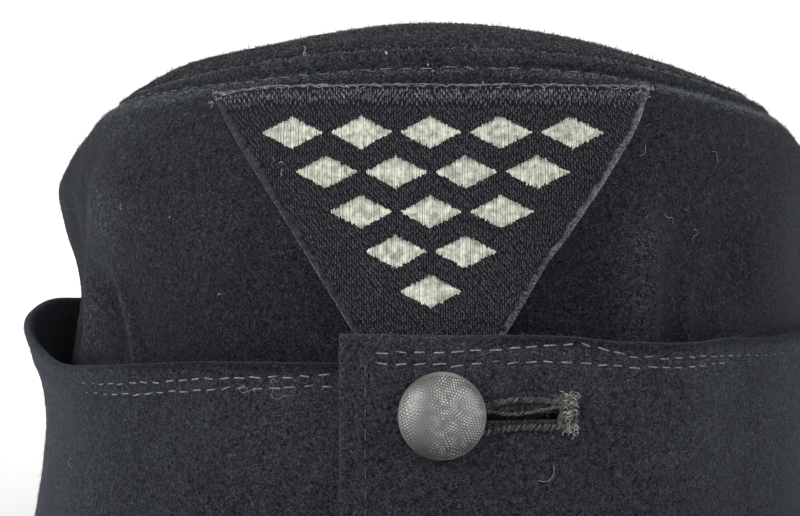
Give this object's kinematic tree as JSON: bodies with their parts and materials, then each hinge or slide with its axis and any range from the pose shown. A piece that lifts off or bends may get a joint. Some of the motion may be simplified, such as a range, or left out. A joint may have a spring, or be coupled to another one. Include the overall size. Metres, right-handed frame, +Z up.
{
  "type": "field cap",
  "caption": "Soft wool field cap: oval top, turned-up flap lapped and buttoned at the front, trapezoid cloth badge, and a stiff peak.",
  "frame": {"origin": "middle of the cap's footprint, on the surface it rests on", "axes": "+Z up, the front with the peak and the button towards -Y, the wearer's left towards +X"},
  "size_m": [0.173, 0.2746, 0.116],
  "materials": {
    "wool_cloth": "brushed wool, matte",
    "peak_cloth": "wool over a stiff board, matte",
    "badge_weave": "tight woven twill, slight sheen",
    "button_paint": "pebbled grey paint, worn"
  },
  "bodies": {
    "root": {"crown_wall": "wool_cloth", "crown_top": "wool_cloth", "flap_under": "wool_cloth", "flap_over": "wool_cloth", "peak": "peak_cloth", "badge": "badge_weave", "button": "button_paint"}
  },
  "joints": []
}
